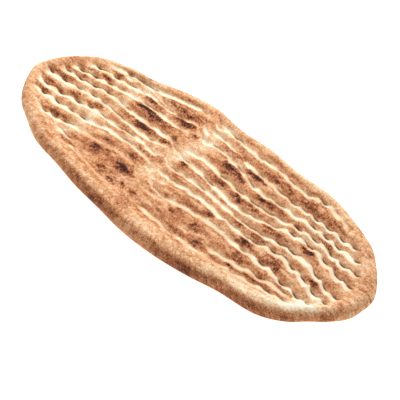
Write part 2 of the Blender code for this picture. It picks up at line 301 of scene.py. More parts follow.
def furrowRelief(x, y):
    # how deep the furrows lie, how far off the nearest one is and how strong it is there
    left = np.ones_like(x)
    nearest = np.full_like(x, 99.0)
    second = np.full_like(x, 99.0)
    mark = np.zeros_like(x)
    (startLow, startHigh), (endLow, endHigh) = furrow["startFade"], furrow["endFade"]
    tracks = []
    for index, row in presses:
        start, end = reachOf(index)
        ends = smoothStep(x - start, startLow, startHigh) * (1 - smoothStep(x - end, endLow, endHigh))
        tracks.append((y - furrowLine(x, index, row), ends * strengthOf(x, index), 1.0))
    for startX, startY, endX, endY, strength in furrow["strands"]:
        along = np.clip((x - startX) / (endX - startX), 0, 1)
        ends = smoothStep(x, startX - 2, startX + 3) * (1 - smoothStep(x, endX - 3, endX + 2))
        off = y - startY - (endY - startY) * along + furrow["strandBow"] * np.sin(math.pi * along)
        tracks.append((off, ends * strength, furrow["strandSize"]))
    (nearWidth, farWidth), (nearCrease, farCrease) = furrow["sideWidth"], furrow["creaseWidth"]
    wideShare, sideShare, creaseShare = furrow["shares"]
    for off, strength, size in tracks:
        profile = wideShare * bell(off, furrow["wideWidth"] * size)
        profile += sideShare * bell(off, np.where(off > 0, farWidth, nearWidth) * size)
        profile += creaseShare * np.exp(-np.abs(off) / np.where(off > 0, farCrease, nearCrease))
        left *= 1 - strength * profile * (0.6 + 0.4 * size)
        absent = strength < 0.02
        distance = np.abs(off) + 40 * absent
        closer = distance < np.abs(nearest)
        second = np.where(closer, np.minimum(np.abs(nearest), second), np.minimum(distance, second))
        nearest = np.where(closer, np.where(absent, distance, off), nearest)
        mark = np.where(closer, strength, mark)
    # the marks fade midway to the next furrow and away from it
    mark *= smoothStep(second - np.abs(nearest), 0, 3) * (1 - smoothStep(np.abs(nearest), 6.5, farOff))
    (wornX, wornY), (reachX, reachY) = furrow["wornPatch"]
    worn = np.exp(-(((x - wornX) / reachX) ** 4) - ((y - wornY) / reachY) ** 4)
    return furrow["depth"] * (1 - left), np.clip(nearest, -farOff, farOff), mark, worn


def dimpleRelief(x, y):
    # the fingertips' depth, the lips that they pushed up, and where their dark bottom lines of painted shadow
    # run
    depth = np.zeros_like(x)
    lip = np.zeros_like(x)
    pit = np.zeros_like(x)
    (back, front), (nearSide, farSide) = dimple["lengths"], dimple["widths"]
    ringWidth, ringOut, ringBreadth = dimple["lipRing"]
    shadowAhead, shadowLong, shadowWide = dimple["pitShadow"]
    for index, row in presses:
        for middleX, strength, slant in row:
            middleY = furrowLine(np.array([middleX]), index, row)[0] + dimple["lift"]
            cosine, sine = math.cos(slant), math.sin(slant)
            near = np.nonzero((np.abs(x - middleX) < 30) & (np.abs(y - middleY) < 14))[0]
            ahead = (x[near] - middleX) * cosine + (y[near] - middleY) * sine
            aside = (y[near] - middleY) * cosine - (x[near] - middleX) * sine
            endways = ahead / np.where(ahead > 0, front, back)
            spread = np.hypot(endways, aside / np.where(aside > 0, farSide, nearSide))
            depth[near] = np.maximum(depth[near], strength * np.exp(-(spread**2.4)))
            ring = bell(np.hypot(endways, aside / ringWidth) - ringOut, ringBreadth)
            lip[near] = np.maximum(lip[near], strength * ring * smoothStep(-aside, 0.0, 2.5))
            shadow = np.exp(-(np.hypot((ahead - shadowAhead) / shadowLong, aside / shadowWide) ** 4))
            pit[near] = np.maximum(pit[near], smoothStep(strength, 0.15, 0.75) * shadow)
    return dimple["depth"] * depth, lip, pit


def rimWidthAt(x, angle):
    lean = np.sin(angle)
    slimX, slimReach, slimShare = loaf["rimSlimmer"]
    slimmer = slimShare * bell(x - slimX, slimReach) * smoothStep(-lean, 0.0, 0.4)
    return (loaf["rimWidthEnds"] - loaf["rimWidthLean"] * lean) * (1 - slimmer)


def bandAt(x, y, bandX, reach):
    # one of the two plainer bands that run slantwise over the loaf
    return bell(x - bandX - loaf["flatBandLean"] * y, reach)


def topRelief(x, y, angle, out):
    # the top crust's height, and the masks that colour it
    inside = edgeDistance(angle, out)
    rimWidth = rimWidthAt(x, angle)
    fallStart, fallEnd = loaf["rimFall"]
    crownShare = 1 - smoothStep(inside, fallStart * rimWidth, fallEnd * rimWidth)
    crown = loaf["fieldHeight"] + (loaf["rimRise"] - loaf["rimRiseLean"] * np.sin(angle)) * crownShare
    size = loaf["lumpSize"]
    crown += loaf["lumpHeight"] * noiseAt(x, y, size, size, 3.0) / noiseGain * smoothStep(inside, 0, 20)
    for bandX, reach in loaf["flatBands"]:
        crown -= loaf["flatBandDrop"] * (bandAt(x, y, bandX, reach) * smoothStep(inside, 15, 40))
    pressStart, pressEnd = loaf["pressedFrom"]
    pressed = smoothStep(inside, pressStart * rimWidth, pressEnd * rimWidth)
    furrows, off, mark, worn = furrowRelief(x, y)
    pressing, lip, pit = dimpleRelief(x, y)
    crown -= pressed * (furrows + pressing - dimple["lipHeight"] * lip)
    for sizeX, sizeY, seed, high in loaf["wrinkles"]:
        crown += high * noiseAt(x, y, sizeX, sizeY, seed) * smoothStep(inside, 1, 8)
    rise = np.sqrt(1 - (1 - np.clip(inside / loaf["edgeRounding"], 0, 1)) ** 2)
    height = loaf["girthHeight"] + (crown - loaf["girthHeight"]) * rise
    masks = {
        "inside": inside, "pressed": pressed, "worn": worn, "off": off,
        "mark": mark * pressed, "lip": lip * pressed, "pit": pit * pressed,
    }
    return height, masks


# baking colour: how far each point of the crust has browned, and where it is scorched, with painted shade and
# painted highlights on the presses and the rim
baking = {
    # x, and how brown the ridges are there
    "ridgeAt": (
        (-280, -240, -190, -150, -120, -60, 20, 80, 130, 170, 220, 280),
        (0.42, 0.42, 0.42, 0.44, 0.49, 0.51, 0.48, 0.49, 0.49, 0.475, 0.46, 0.44),
    ),
    "rim": 0.44,
    # x, and how much browner the rim's outer flank is along -Y: partly browning and partly painted shade on
    # the side turned from the light
    "flankBrownAndShadeAt": (
        (-270, -240, -210, -180, -150, -120, -90, -60, -30, 0, 30, 60, 90, 120, 150, 180, 210, 240, 265),
        (-0.05, 0, -0.1, -0.02, 0.2, 0.14, 0.28, 0.32, 0.18, 0.12,
         0.1, 0.22, 0.34, 0.28, 0.2, 0.28, 0.24, 0.25, 0.1),
    ),
    # x, how far in that flank reaches and how far in the crest lies
    "flankReachAt": (
        (-280, -180, -150, -90, -60, 40, 65, 115, 145, 190, 240, 280),
        (9, 9, 7.5, 9.5, 8, 7.5, 6, 5, 7, 6.5, 4, 4),
    ),
    "flankSoft": 3.5,
    "crestAt": (
        (-280, -120, -90, -60, 40, 90, 150, 190, 210, 240, 280),
        (17, 17, 20, 18, 17, 15, 16, 15, 13, 12, 11),
    ),
    "crestReach": 8.0,
    # x, and how much paler that rim's crest is: partly painted highlight
    "crestHighlightAt": (
        (-270, -210, -180, -150, -100, -60, -30, 0, 60, 90, 120, 150, 180, 210, 245, 270),
        (-0.02, 0.00, -0.08, 0.02, 0.04, -0.12, -0.10, -0.02, 0.00, -0.06, 0.04, 0.16, 0.22, 0.42, 0.38, 0.08),
    ),
    # x, and how much browner the rim is along +Y
    "farRimAt": (
        (-270, -230, -190, -150, -90, -40, 0, 40, 60, 90, 150, 180, 210, 245, 275),
        (0.08, 0.05, -0.06, 0.00, 0.01, -0.02, 0.08, 0.04, -0.04, -0.12, -0.12, -0.02, 0.04, -0.12, 0.00),
    ),
    # browner and paler areas: x, y, half length, half width and how much browner
    "areas": (
        (-110, 31, 40, 15, 0.12), (180, 30, 45, 14, -0.10), (160, 8, 24, 11, -0.07), (122, -11, 26, 10, -0.16),
        (-82, -9, 22, 10, -0.10), (40, -52, 32, 12, 0.10), (178, -56, 40, 15, 0.17), (-158, -73, 30, 11, 0.17),
        (5, -76, 75, 10, 0.11), (-234, 47, 18, 12, 0.13), (-242, -50, 20, 15, 0.10), (200, 50, 26, 9, -0.06),
    ),
    "base": 0.22,
    "basePatches": 0.10,
    # noises that vary the browning: size along x and y, seed, and how much over the ridges and over the rim
    "noises": ((42.0, 22.0, 31.0, 0.06, 0.08), (15.0, 6.5, 37.0, 0.10, 0.06), (7.0, 4.0, 43.0, 0.08, 0.10)),
    "wornMore": 0.15,
    "betweenMore": 0.10,  # midway between two furrows
    "troughLess": (0.12, 0.10),  # how much paler a furrow is, and how much of that deep presses take back
    "bandLess": (0.14, 0.20),  # how much paler the plainer bands are, and how much more in flakes
    "pitWallShade": ((-190, -130), (0.13, 0.05)),  # x, and how much browner the presses' upper walls are, as painted shade
    "pitWall": (3.2, 2.4),  # how far from the furrow's bottom those lie, and their breadth
    # how much paler the presses' lips are: a painted highlight where they catch the light
    "lipHighlight": 0.04,
    "innerHighlight": 0.06,  # how much paler the rim's inner slope is along -Y, a painted highlight where it faces the light
    # scorching: how hot the spots get and where that levels off, and how far noise warps their edges
    "heat": (1.35, 0.28),
    "warp": (3.0, 1.8),
    # x, y, half length, half width and strength of the scorched spots
    "spots": (
        (-193, 52, 9, 5, 1.1), (-178, 42, 7, 3.5, 0.7), (-161, 9, 8, 6, 1.2), (-197, 4, 9, 5.5, 0.95),
        (-236, 15, 16, 6, 0.65), (-235, -8, 17, 4, 0.6), (-235, -21, 13, 3.5, 0.55), (-190, -38, 15, 5, 0.7),
        (-180, 63, 12, 3, 0.6), (-215, 35, 7, 5, 0.5), (-122, 61, 25, 3.5, 0.8), (-62, 63, 18, 5, 1.4),
        (-216, 45, 5, 5, 0.45), (-238, 31, 10, 4, 0.45), (-150, -62, 10, 4, 0.5), (-212, -42, 9, 4, 0.5),
        (-65, 75, 34, 6, 0.45), (-40, 83, 14, 5, 0.35), (-107, 45, 20, 6, 1.1), (-96, 43, 12, 6, 1.0),
        (-78, 42, 16, 3, 0.7), (-51, 36, 5, 5, 0.6), (-95, 21, 18, 4.5, 0.9), (-57, 21, 14, 5, 0.6),
        (-45, -6, 14, 5, 0.75), (-67, -7, 10, 3, 0.4), (-32, 54, 7, 4, 0.6), (-14, 12, 6, 6, 1.0),
        (-67, -23, 10, 4.5, 0.9), (-107, -26, 12, 4, 0.5), (-113, -43, 9, 6, 0.6), (-60, -45, 14, 4.5, 1.1),
        (-82, -63, 9, 5, 0.7), (-58, -69, 14, 4.5, 0.8), (-45, -64, 8, 5, 0.8), (-28, -64, 6, 4.5, 0.7),
        (20, 68, 18, 4, 0.5), (33, 46, 17, 7, 1.2), (52, 41, 12, 4, 0.7), (68, 58, 17, 4.5, 1.3),
        (38, 21, 13, 4.5, 0.9), (72, 18, 12, 5, 1.0), (92, 19, 10, 4, 0.6), (98, 36, 12, 3.5, 0.7),
        (114, 37, 24, 3, 0.45), (100, 70, 50, 6, 0.35), (145, 70, 24, 7, 0.6), (183, 67, 16, 7, 0.5),
        (98, -9, 11, 4, 0.7), (125, -10, 12, 5, 0.9), (120, -25, 10, 4.5, 1.4), (60, -27, 8, 5, 0.7),
        (30, -30, 14, 5, 0.4), (64, -49, 9, 5, 0.9), (28, -49, 9, 5, 0.6), (79, -66, 11, 5, 1.1),
        (50, -69, 9, 4, 0.45), (130, -47, 12, 6, 0.5), (127, -62, 5, 3, 0.7), (7, -37, 5, 3, 0.5),
        (240, 58, 9, 6, 0.5), (190, 38, 14, 5, 0.75), (150, 33, 11, 3, 0.65), (183, 16, 14, 5.5, 1.6),
        (138, 9, 18, 5, 0.65), (218, -14, 8, 4.5, 0.9), (225, 22, 12, 4, 0.35), (165, -22, 14, 8, 0.55),
        (172, -28, 5, 5, 0.8), (158, -56, 11, 5, 0.5), (155, 2, 6, 4, 0.4),
        (250, -35, 9, 5, 0.35), (259, -23, 6, 7, 0.35), (263, 24, 7, 10, 0.35),
    ),
}


def scorchAt(x, y):
    # the rows of spots are ragged: noise pushes their edges to and fro
    warpX = baking["warp"][0] * noiseAt(x, y, 6.0, 5.0, 21.0)
    warpY = baking["warp"][1] * noiseAt(x, y, 6.0, 5.0, 27.0)
    gain, levelling = baking["heat"]
    scorch = np.zeros_like(x)
    for spotX, spotY, halfLong, halfWide, strength in baking["spots"]:
        heat = gain * strength / (1 + levelling * strength)
        awayX, awayY = x - spotX, y - spotY
        near = np.nonzero((np.abs(awayX) < 2.6 * halfLong + 6) & (np.abs(awayY) < 2.6 * halfWide + 6))[0]
        spread = np.hypot((awayX + warpX)[near] / halfLong, (awayY + warpY)[near] / halfWide)
        scorch[near] = np.maximum(scorch[near], heat * np.exp(-(spread**2.2)))
    return scorch


def ridgeToastAt(x, y, masks, islands, quickSpots):
    # between the furrows it browns most; the plainer bands and the furrows' slopes stay paler; the presses'
    # upper walls get painted shade and the lips a painted highlight
    off, mark = masks["off"], masks["mark"]
    toast = baking["wornMore"] * masks["worn"]
    toast += baking["betweenMore"] * mark * smoothStep(np.abs(off), 3.5, 7.0)
    less, givenBack = baking["troughLess"]
    less = less - givenBack * np.interp(x, *dimple["strengthAt"])
    toast -= less * mark * bell(off - 1.0, 3.6)
    bandLess, flakeLess = baking["bandLess"]
    flakes = smoothStep(islands + quickSpots, 0.0, 0.9)
    for bandX, reach in loaf["flatBands"]:
        toast -= (bandLess + flakeLess * flakes) * bandAt(x, y, bandX, reach)
    wallOff, wallBreadth = baking["pitWall"]
    wallShade = masks["pit"] * bell(off - wallOff, wallBreadth)
    return toast + np.interp(x, *baking["pitWallShade"]) * wallShade - baking["lipHighlight"] * masks["lip"]


def toastAt(x, y, angle, masks):
    inside, pressed = masks["inside"], masks["pressed"]
    toast, rimToast = np.interp(x, *baking["ridgeAt"]), baking["rim"]
    noises = []
    for sizeX, sizeY, seed, ridgeMore, rimMore in baking["noises"]:
        noises.append(noiseAt(x, y, sizeX, sizeY, seed))
        toast = toast + ridgeMore * noises[-1]
        rimToast = rimToast + rimMore * noises[-1]
    islands, quickSpots = noises[1], noises[2]
    toast += ridgeToastAt(x, y, masks, islands, quickSpots)
    # the rim: brown on the outer flank along -Y, partly browning and partly painted shade, and cream on the
    # slope inside it and on its crest, partly painted highlight
    nearSide = smoothStep(-np.sin(angle), 0.05, 0.5)
    farSide = smoothStep(np.sin(angle), 0.1, 0.6)
    soft = baking["flankSoft"]
    flank = 1 - smoothStep(inside + quickSpots - np.interp(x, *baking["flankReachAt"]), -soft, soft)
    crest = bell(inside - np.interp(x, *baking["crestAt"]), baking["crestReach"])
    # the crest's paler colour is partly painted highlight
    crestHighlight = nearSide * crest * np.interp(x, *baking["crestHighlightAt"])
    rimToast += nearSide * (np.interp(x, *baking["flankBrownAndShadeAt"]) * flank - baking["innerHighlight"] * (1 - flank))
    rimToast += farSide * np.interp(x, *baking["farRimAt"])
    areas = np.zeros_like(x)
    for areaX, areaY, halfLong, halfWide, more in baking["areas"]:
        areas += more * bell(x - areaX, halfLong) * bell(y - areaY, halfWide)
    return np.clip(rimToast * (1 - pressed) + toast * pressed + areas - crestHighlight, 0, 1)


def addObject(name, data):
    added = bpy.data.objects.new(name, data)
    bpy.context.scene.collection.objects.link(added)
    return added


def startMaterial(name):
    material = bpy.data.materials.new(name)
    material.use_nodes = True
    return material, material.node_tree.nodes["Principled BSDF"]


# the bread's mesh: a fine grid for the top, and every second line of it again for the underside
breadMesh = {
    "columns": 340,  # both counts stay even
    "rows": 226,
    "edgeLines": (0.0, 0.25, 0.8, 1.7, 2.9, 4.3, 5.9, 7.6),
    # the print of the oven floor on the base: its height, and size, seed and share of the noises in it
    "printHeight": 0.35,
    "prints": ((9.0, 51.0, 1.0), (3.0, 55.0, 0.5)),
}


def gridLines(count, halfSize):
    # even lines from -1 to 1, with the fine edge lines outside them
    edge = 1 - np.array(breadMesh["edgeLines"]) / halfSize
    between = np.linspace(-edge[-1], edge[-1], count + 1 - 2 * (len(edge) - 1))[1:-1]
    return np.concatenate([-edge, between, edge[::-1]])


def undersideHeight(x, y, inside):
    # the belly rolls in from the girth to the flat base, which has the faint print of the oven floor
    inset = loaf["baseInset"]
    rolled = np.clip(inside / inset, 0, 1)
    height = loaf["girthHeight"] * (1 - np.sqrt(1 - (1 - rolled) ** 2))
    prints = sum(share * noiseAt(x, y, size, size, seed) for size, seed, share in breadMesh["prints"])
    return height + breadMesh["printHeight"] * np.clip(prints, 0, 1) * smoothStep(inside, inset - 5, inset + 3)


def arcAround(angle):
    # the way round the edge as an even turn, from 0 to 2 pi
    fine = np.linspace(-math.pi, math.pi, 721)
    scale = edgeScale(fine)
    x, y = np.cos(fine) * loaf["halfLength"] * scale, np.sin(fine) * loaf["halfWidth"] * scale
    length = np.concatenate([[0], np.cumsum(np.hypot(np.diff(x), np.diff(y)))])
    return np.interp(angle, fine, length / length[-1] * 2 * math.pi), length[-1]


def makeFaces(columns, rows):
    # top quads, then underside faces that share the top's border and take in its in-between points
    wide = columns + 1
    topFirst = (np.arange(rows)[:, None] * wide + np.arange(columns)[None, :]).ravel()
    faces = np.column_stack([topFirst, topFirst + 1, topFirst + 1 + wide, topFirst + wide]).tolist()
    topCount = len(faces)
    lowNumber = {}
    nextNumber = wide * (rows + 1)
    for row in range(0, rows + 1, 2):
        for column in range(0, columns + 1, 2):
            if row in (0, rows) or column in (0, columns):
                lowNumber[row, column] = row * wide + column
            else:
                lowNumber[row, column] = nextNumber
                nextNumber += 1
    for row in range(0, rows, 2):
        for column in range(0, columns, 2):
            corners = ((row, column), (row + 2, column), (row + 2, column + 2), (row, column + 2))
            face = []
            for here, there in zip(corners, corners[1:] + corners[:1]):
                face.append(lowNumber[here])
                middle = ((here[0] + there[0]) // 2, (here[1] + there[1]) // 2)
                if middle[0] in (0, rows) or middle[1] in (0, columns):
                    face.append(middle[0] * wide + middle[1])
            faces.append(face)
    return faces, topCount


def makeBread():
    columns, rows = breadMesh["columns"], breadMesh["rows"]
    u, v = np.meshgrid(gridLines(columns, loaf["halfLength"]), gridLines(rows, loaf["halfWidth"]))
    lowU, lowV = u[2:-1:2, 2:-1:2].ravel(), v[2:-1:2, 2:-1:2].ravel()
    topX, topY, topAngle, topOut = onOval(u.ravel(), v.ravel())
    topZ, masks = topRelief(topX, topY, topAngle, topOut)
    print("top crust shaped:", len(topX), "points")

    lowX, lowY, lowAngle, lowOut = onOval(lowU, lowV)
    lowInside = edgeDistance(lowAngle, lowOut)
    lowZ = undersideHeight(lowX, lowY, lowInside)
    still = np.zeros_like(lowX)
    lowMasks = {name: still for name in masks}
    lowMasks["off"] = still + farOff
    print("underside shaped:", len(lowX), "points")

    toast = toastAt(topX, topY, topAngle, masks)
    lowToast = toastAt(lowX, lowY, lowAngle, lowMasks)
    under = smoothStep(lowInside, 1, 11)
    patches = noiseAt(lowX, lowY, 30.0, 24.0, 61.0)
    lowToast = lowToast * (1 - under) + (baking["base"] + baking["basePatches"] * patches) * under
    scorch = scorchAt(topX, topY)
    arc, girth = arcAround(np.append(topAngle, lowAngle))
    radius = girth / (2 * math.pi)
    values = {
        "toast": np.append(toast, lowToast),
        "scorch": np.append(scorch, still),
        "furrowOff": np.append(masks["off"], lowMasks["off"]),
        "furrowMark": np.append(masks["mark"], still),
        # the pit mask carries where the painted shadow lies in the presses
        "pit": np.append(masks["pit"], still),
        "deep": np.interp(np.append(topX, lowX), *dimple["strengthAt"]),
        "rimShare": np.append(1 - masks["pressed"], still + 1),
        "underside": np.append(np.zeros_like(topX), under),
    }
    middleX, middleY = (topX.max() + topX.min()) / 2, (topY.max() + topY.min()) / 2
    pointX, pointY = np.append(topX, lowX) - middleX, np.append(topY, lowY) - middleY
    points = np.column_stack([pointX, pointY, np.append(topZ, lowZ)])
    inside = np.append(masks["inside"], lowInside)
    way = np.column_stack([radius * np.cos(arc), radius * np.sin(arc), inside])

    faces, topCount = makeFaces(columns, rows)
    mesh = bpy.data.meshes.new("flatbread")
    mesh.from_pydata((points * mm).tolist(), [], faces)
    for name, numbers in values.items():
        mesh.attributes.new(name, "FLOAT", "POINT").data.foreach_set("value", numbers.astype(np.float32))
    edgeWay = mesh.attributes.new("aroundEdge", "FLOAT_VECTOR", "POINT")
    edgeWay.data.foreach_set("vector", way.astype(np.float32).ravel())
    mesh.materials.append(makeTopCrust())
    mesh.materials.append(makeBaseCrust())
    slots = np.ones(len(faces), dtype=np.int32)
    slots[:topCount] = 0
    mesh.polygons.foreach_set("material_index", slots)
    mesh.shade_smooth()
    mesh.validate()
    print("bread made:", len(points), "points,", len(faces), "faces")
    return addObject("flatbread", mesh)


# helpers for building shader nodes
def place(tree, kind, x, y, **settings):
    node = tree.nodes.new(kind)
    node.location = (x, y)
    for name, value in settings.items():
        if name in node.inputs:
            node.inputs[name].default_value = value
        else:
            setattr(node, name, value)
    return node


def maths(tree, operation, x, y, *inputs):
    node = place(tree, "ShaderNodeMath", x, y, operation=operation)
    for number, value in enumerate(inputs):
        if isinstance(value, (int, float)):
            node.inputs[number].default_value = value
        else:
            tree.links.new(value, node.inputs[number])
    return node.outputs[0]


def chain(tree, value, x, y, *steps):
    # maths steps one after another, each on the last one's result
    for number, (operation, *inputs) in enumerate(steps):
        value = maths(tree, operation, x + 150 * number, y, value, *inputs)
    return value


def attribute(tree, name, x, y, output="Fac"):
    return place(tree, "ShaderNodeAttribute", x, y, attribute_name=name).outputs[output]


def startGroup(name, inputs, outputs):
    # an input's value is a number, a colour or, for a vector, None
    group = bpy.data.node_groups.new(name, "ShaderNodeTree")
    for label, value in inputs.items():
        kind = "Vector" if value is None else "Color" if isinstance(value, tuple) else "Float"
        socket = group.interface.new_socket(label, in_out="INPUT", socket_type="NodeSocket" + kind)
        if value is not None:
            socket.default_value = value
    for label in outputs:
        kind = "NodeSocketColor" if label == "Colour" else "NodeSocketFloat"
        group.interface.new_socket(label, in_out="OUTPUT", socket_type=kind)
    return group, place(group, "NodeGroupInput", -900, 0), place(group, "NodeGroupOutput", 900, 0)


def noiseNode(tree, where, x, y, scale, detail, roughness):
    node = place(tree, "ShaderNodeTexNoise", x, y, Scale=scale, Detail=detail, Roughness=roughness)
    tree.links.new(where, node.inputs["Vector"])
    return node


def stretched(tree, where, x, y, stretch):
    node = place(tree, "ShaderNodeVectorMath", x, y, operation="MULTIPLY")
    node.inputs[1].default_value = stretch
    tree.links.new(where, node.inputs[0])
    return node.outputs[0]


def softRange(tree, value, x, y, low, high):
    node = place(tree, "ShaderNodeMapRange", x, y, interpolation_type="SMOOTHSTEP")
    node.inputs["From Min"].default_value = low
    node.inputs["From Max"].default_value = high
    tree.links.new(value, node.inputs["Value"])
    return node.outputs["Result"]


def useGroup(tree, group, x, y, **values):
    node = place(tree, "ShaderNodeGroup", x, y)
    node.node_tree = group
    for name, value in values.items():
        node.inputs[name].default_value = value
    return node


# shader groups that the top and the underside share
browning = {
    # how baked, from raw cream to char, and the colour there
    "colours": (
        (0.00, (0.880, 0.810, 0.675)),
        (0.16, (0.790, 0.635, 0.450)),
        (0.36, (0.680, 0.405, 0.220)),
        (0.56, (0.490, 0.208, 0.092)),
        (0.74, (0.275, 0.088, 0.034)),
        (0.88, (0.118, 0.033, 0.017)),
        (1.00, (0.036, 0.013, 0.012)),
    ),
}


def makeBrowningGroup():
    # baking value in, crust colour out
    group, start, end = startGroup("crustBrowning", {"Bake": 0.3}, ("Colour",))
    ramp = place(group, "ShaderNodeValToRGB", 0, 0)
    stops = ramp.color_ramp.elements
    for number, (position, colour) in enumerate(browning["colours"]):
        stop = stops[number] if number < 2 else stops.new(position)
        stop.position = position
        stop.color = (*colour, 1)
    group.links.new(start.outputs["Bake"], ramp.inputs["Fac"])
    group.links.new(ramp.outputs["Color"], end.inputs["Colour"])
    return group


mottling = {
    # noises: scale, detail and roughness, and how far the place is stretched for them
    "blotch": (230.0, 3.0, 0.6),
    "blotchStretch": (0.5, 1.0, 1.0),  # drawn out along the loaf
    "speck": (620.0, 3.0, 0.72),
    "speckStretch": (1.0, 0.5, 1.0),  # and across it
    "stroke": (1.0, 3.0, 0.6),
    "strokeStretch": (0.62, 0.62, 0.13),
    "ragged": (1.7, -0.65, 1.6),  # how blotches and specks break up the scorching: gain, offset and gain
    "scorchGain": 0.42,
    "paleScorch": -0.5,  # what a pale slope, partly painted highlight, takes from the scorching
    "paleToast": (-0.80, -0.05),  # and from the toast, as a share and in all
}


def makeMottleGroup():
    # uneven baking: blotches, fine specks, strokes across the edge, and ragged scorching
    values = {"Toast": 0.3, "Scorch": 0.0, "Pale And Highlight": 0.0, "Edge Way": None}
    values.update({"Blotch": 0.2, "Speck": 0.2, "Stroke": 0.2})
    group, start, end = startGroup("crustMottle", values, ("Bake",))
    given, look = start.outputs, mottling
    where = place(group, "ShaderNodeTexCoord", -900, -300).outputs["Object"]
    bake = given["Toast"]
    textures = {}
    for name, source, y in (("Blotch", where, 300), ("Speck", where, 50), ("Stroke", given["Edge Way"], -200)):
        drawn = stretched(group, source, -750, y, look[name.lower() + "Stretch"])
        textures[name] = noiseNode(group, drawn, -600, y, *look[name.lower()]).outputs["Fac"]
        scaled = chain(group, textures[name], -350, y, ("SUBTRACT", 0.5), ("MULTIPLY", given[name]))
        bake = maths(group, "ADD", -50, y, bake, scaled)
    blotchGain, offset, speckGain = look["ragged"]
    ragged = maths(group, "MULTIPLY_ADD", -350, -500, textures["Blotch"], blotchGain, offset)
    ragged = maths(group, "MULTIPLY_ADD", -200, -500, textures["Speck"], speckGain, ragged)
    keep = maths(group, "MULTIPLY_ADD", -50, -700, given["Pale And Highlight"], look["paleScorch"], 1.0)
    burnt = chain(group, given["Scorch"], -50, -500, ("MULTIPLY", ragged), ("MULTIPLY", keep))
    # the pale slopes, partly painted highlight, lighten the bake
    paleShare, paleInAll = look["paleToast"]
    baked = maths(group, "MULTIPLY_ADD", -50, -900, given["Pale And Highlight"], paleShare, 1.0)
    bake = maths(group, "MULTIPLY", 50, 0, bake, baked)
    bake = maths(group, "MULTIPLY_ADD", 100, 100, given["Pale And Highlight"], paleInAll, bake)
    bake = maths(group, "MULTIPLY_ADD", 200, 0, burnt, look["scorchGain"], bake)
    clamped = place(group, "ShaderNodeClamp", 400, 0)
    group.links.new(bake, clamped.inputs["Value"])
    group.links.new(clamped.outputs[0], end.inputs["Bake"])
    return group


furrowMarks = {
    # noises: scale, detail and roughness
    "wobble": (260.0, 2.0, 0.6),
    "wobbleReach": 3.0,
    "breaks": (45.0, 1.0, 0.5),
    "breakRange": (0.36, 0.62),  # from broken to whole
    # the pale slope on each side, partly less baked crust and partly painted highlight: the side, its width at
    # faint presses and how much more at deep ones
    "slopes": ((-1.0, 2.0, 6.0), (1.0, 2.0, -1.4)),
    "slopeStart": -0.5,
    "slopeFade": 4.2,
    # gain and offset by which the breaks vary the slopes' width, their strength and the painted highlight's
    "widthUneven": (0.5, 0.7),
    "slopeUneven": (0.40, 0.50),
    "highlightUneven": (0.55, 0.50),
    "highlightPlace": 0.9,
    "highlightFade": -0.8,
    # the painted shadow lines' places and widths: the dark one at the bottom and the soft brown one above it
    "lines": ((1.0, 1.2), (2.6, 2.0)),
    "shadowLineFade": 1.3,
    "paintedShadowShare": 0.8,  # how strong the dark painted shadow line is outside the presses
    "softShadowShare": 0.12,  # and the soft painted shadow within them
}


